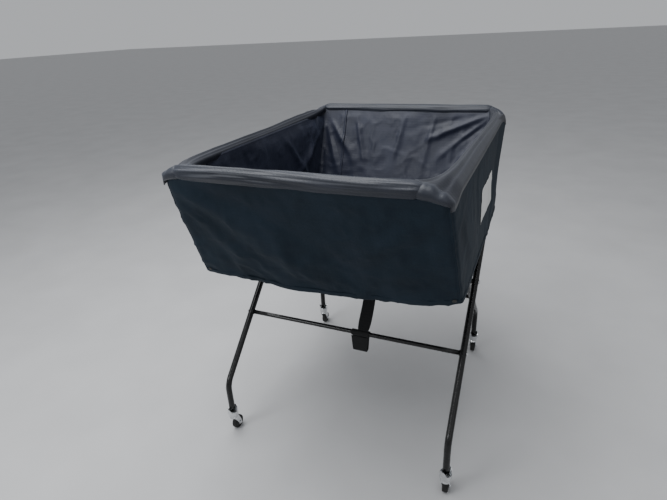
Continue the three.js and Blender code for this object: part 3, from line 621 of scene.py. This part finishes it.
dl = .0042 * fbm(L, (4.0, 4.0, 3.5), 3, 12.3) + .0026 * np.clip(ridge, 0, 1) ** 3 + .0012 * np.clip(1 - np.abs(fbm(L, (17, 17, 13), 2, 21.1)) * 2.4, 0, 1) ** 2
for a, b, w_, am in (((.345, .50, 1.05), (.10, .46, .95), .011, .013), ((.345, .50, 1.03), (.16, .44, .88), .010, .012), ((.34, .49, 1.0), (.22, .42, .82), .011, .011), ((.34, .50, 1.06), (.05, .47, 1.0), .010, -.010), ((.33, .49, 1.01), (.19, .45, .90), .009, -.010),
                     ((-.33, .49, 1.04), (-.18, .43, .84), .012, .010), ((-.33, .48, .98), (-.25, .40, .78), .012, .010), ((-.20, .50, 1.05), (-.14, .42, .82), .010, .007), ((.02, .50, 1.05), (-.04, .42, .80), .012, .006), ((.14, .50, 1.05), (.10, .42, .80), .010, .006),
                     ((-.345, .46, 1.0), (-.35, .10, .80), .018, .012), ((-.345, .40, 1.04), (-.35, .22, .80), .014, .010), ((-.345, .10, 1.04), (-.35, .30, .78), .016, .010), ((-.34, -.30, 1.03), (-.35, .10, .80), .02, .010),
                     ((.345, .46, 1.0), (.35, .10, .80), .018, .012), ((.345, .30, 1.03), (.35, .0, .80), .018, .012)):
    dl += fold(L, a, b, w_, am)
L = L + n * (np.clip(dl, -.004, .03) * smooth(v2 * 9)[None, :] * smooth((1 - v2) * 9)[None, :])[..., None]
lining = make("bin_lining", L.reshape(-1, 3), grid_faces(len(L), NL, True), M_LINING, grid_uv(L), thick=.001)
on_bin(lining, "front_lining", "rear_lining", "left_side_lining", "right_side_lining", slot="lining_fabric")
# lining seam up the rear wall, left of the middle
LN = normals(L, True); LN *= -np.sign(((L - L.mean((0, 1))) * LN).sum(2).mean())
rear0 = N_FR + 2 * N_CO + N_SI
i_seam = rear0 + int(N_FR * (1 - (-.285 + .37) / .74))
o = strip_on("rear_lining_seam", L[i_seam, 1:-1], LN[i_seam, 1:-1], .012, .0032, M_LINING); on_bin(o, slot="lining_fabric")
# floor sheet
nx, ny = 70, 80
gx, gy = np.meshgrid(np.linspace(-.3512, .3512, nx), np.linspace(-.3730, .3730, ny), indexing="ij")
gz = FLOOR_Z + .002 - .006 * (1 - (gx / .349) ** 2) * (1 - (gy / .371) ** 2)
Fp = np.stack([gx, gy, gz], 2)
Fp[..., 2] += (.005 * fbm(Fp, (6, 6, 6), 4, 2.2) + .003) * (1 - (gx / .349) ** 4) * (1 - (gy / .371) ** 4)
o = make("bin_floor_cloth", Fp.reshape(-1, 3), grid_faces(nx, ny), M_LINING, grid_uv(Fp), thick=.001)
on_bin(o, "bin_floor", slot="lining_fabric")

# ---- snaps, patch -----------------------------------------------------------
def nearest(x, y, z, want=None):
    dd = np.linalg.norm(SKIRT - np.array([x, y, z]), axis=2)
    if want is not None: dd = dd + 10 * (np.abs(SN_[..., 1]) < .75)
    i, j = np.unravel_index(np.argmin(dd), dd.shape)
    return Vector(SKIRT[i, j]), Vector(SN_[i, j]).normalized()
for side, k in (("left", -1), ("right", 1)):
    at, nn = nearest(k * .390, -HEM_Y - .006, HEM_Z + (.022 if k > 0 else -.004), True)
    m = Matrix.Translation(at + nn * .0012) @ nn.to_track_quat("Z", "Y").to_matrix().to_4x4()
    o = turned(f"{side}_snap_turned", rounded([(0, 0), (.0064, 0), (.0064, .0014), (.0050, .0026), (.0038, .0030), (.0032, .0022), (0, .0022)], .0003), M_NYLON, m, 36)
    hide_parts(f"{side}_hem_snap"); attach(o, "inner_frame")
# plain light patch sewn on the right side, with no lettering
i0 = N_FR + N_CO
sideP, sideN = SKIRT[i0:i0 + N_SI], SN_[i0:i0 + N_SI]
from_y, to_y, from_z, to_z = -.075, .175, .820, .925
gu, gv = 44, 22
rows = []
for a in np.linspace(from_y, to_y, gu):
    i = int(np.argmin(np.abs(sideP[:, 10, 1] - a)))
    row = []
    for b_ in np.linspace(from_z, to_z, gv):
        zc = sideP[i, :, 2]; o_ = np.argsort(zc)
        x_ = np.interp(b_, zc[o_], sideP[i, :, 0][o_])
        row.append((x_ + .0018, a, b_))
    rows.append(row)
PT = np.array(rows)
PT[..., 0] = np.maximum(PT[..., 0], (np.roll(PT[..., 0], 1, 0) + np.roll(PT[..., 0], -1, 0)) / 2)
on_bin(make("side_patch", PT.reshape(-1, 3), grid_faces(gu, gv), M_PATCH, grid_uv(PT), thick=.0006))

# ---- webbing strap ----------------------------------------------------------
SLANT = -.24
def strap_x(y): return .011 + SLANT * y
def webbing(name, pts, width, thick=.0020, ribs=9, x0=0.0, slant=0.0, gather=None):
    """Ribbed strap that follows pts (y, z); its width runs along X."""
    pts = np.array(pts, float); n = len(pts); t = np.gradient(pts, axis=0); t /= np.linalg.norm(t, axis=1, keepdims=True)
    nn = np.stack([-t[:, 1], t[:, 0]], 1)
    m = ribs * 6 + 1
    xs = np.linspace(-width / 2, width / 2, m)
    prof = thick / 2 * (.80 + .20 * np.abs(np.sin(np.linspace(0, ribs * math.pi, m)))); prof[0] = prof[-1] = thick * .25
    verts = []
    for i in range(n):
        g = 1.0 if gather is None else gather(i / (n - 1))
        for s_ in (1, -1):
            for j in (range(m) if s_ > 0 else range(m - 1, -1, -1)):
                verts.append((x0 + slant * pts[i, 0] + xs[j] * g, pts[i, 0] + nn[i, 0] * prof[j] * s_, pts[i, 1] + nn[i, 1] * prof[j] * s_))
    k = 2 * m
    faces = [(i * k + j, i * k + (j + 1) % k, (i + 1) * k + (j + 1) % k, (i + 1) * k + j) for i in range(n - 1) for j in range(k)]
    faces += [tuple(reversed(range(k))), tuple((n - 1) * k + j for j in range(k))]
    LL = np.concatenate([[0], np.cumsum(np.linalg.norm(np.diff(pts, axis=0), axis=1))])
    uv = [(q[0], LL[i // k]) for i, q in enumerate(verts)]
    o = make(name, verts, faces, M_WEB, uv)
    mod = o.modifiers.new("edges", "EDGE_SPLIT"); mod.split_angle = math.radians(50)
    return o
bc = on_leg(1, 0, BAR_S)
by, bz = bc[1], bc[2]
for side, sg, body in (("front", 1, "outer_frame"), ("rear", -1, "inner_frame")):
    ring = [(sg * by + .0102 * math.cos(a), bz + .0102 * math.sin(a)) for a in np.linspace(.1, 2 * math.pi - .1, 40)]
    o = webbing(f"strap_{side}_wrap", ring, .066 if sg > 0 else .052, x0=strap_x(sg * by) - (.007 if sg > 0 else 0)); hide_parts(f"strap_{side}_loop"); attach(o, body)
u = np.linspace(0, 1, 60)
sp = np.stack([by + .0125 + u * (-2 * by - .025), bz + .003 - 4 * .012 * u * (1 - u)], 1)
o = webbing("spreader_webbing", sp, .050, x0=.011, slant=SLANT, gather=lambda t_: 1 - .24 * math.exp(-t_ * 9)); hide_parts("spreader_strap")
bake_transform(o)
tail = [(by + .006 + .002 * math.sin(i / 14 * 1.57), bz - .0125 - .053 * i / 14) for i in range(15)]
tail += [(by + .008 * math.cos(a), bz - .066 - .008 * math.sin(a)) for a in np.linspace(.15, math.pi - .15, 18)]
tail += [(by - .006 - .002 * math.sin((14 - i) / 14 * 1.57), bz - .0655 + .053 * i / 14) for i in range(15)]
o = webbing("strap_tail", tail, .064, x0=strap_x(by) - .009, gather=lambda t_: .78 + .22 * abs(2 * t_ - 1) ** 1.4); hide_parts("strap_tail_loop"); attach(o, "outer_frame")

# ---- stage ------------------------------------------------------------------
def stage():
    m, nt, b = new_mat("stage_floor")
    tc = node(nt, "ShaderNodeTexCoord")
    n1 = node(nt, "ShaderNodeTexNoise", Scale=3.0, Detail=3.0)
    nt.links.new(tc.outputs["Object"], n1.inputs["Vector"])
    nt.links.new(ramp(nt, n1.outputs["Fac"], (.45, .45, .455), (.49, .49, .495)), b.inputs["Base Color"])
    b.inputs["Roughness"].default_value = .85
    o = make("stage_floor", [(-60, -60, 0), (60, -60, 0), (60, 60, 0), (-60, 60, 0)], [(0, 1, 2, 3)], m)
stage()
def area(name, loc, target, size, power, color=(1, 1, 1)):
    l = bpy.data.lights.new(name, "AREA"); l.shape = "RECTANGLE"; l.size, l.size_y = size; l.energy = power; l.color = color
    o = bpy.data.objects.new(name, l); scene.collection.objects.link(o)
    o.location = loc
    o.rotation_euler = (Vector(target) - Vector(loc)).to_track_quat("-Z", "Y").to_euler()
    return o
area("key_light", (-.6, -.3, 3.2), (0, 0, .8), (3.0, 2.2), 130, (.97, .985, 1))
area("fill_light", (2.8, -2.6, 2.2), (0, 0, .7), (2.2, 1.8), 9, (.95, .98, 1))
area("side_light", (-1.9, -3.1, 2.3), (0, -.3, .8), (1.2, 1.0), 40, (.95, .98, 1))
world = bpy.data.worlds.new("studio"); scene.world = world; world.use_nodes = True
world.node_tree.nodes["Background"].inputs[0].default_value = (.80, .82, .85, 1)
world.node_tree.nodes["Background"].inputs[1].default_value = .60
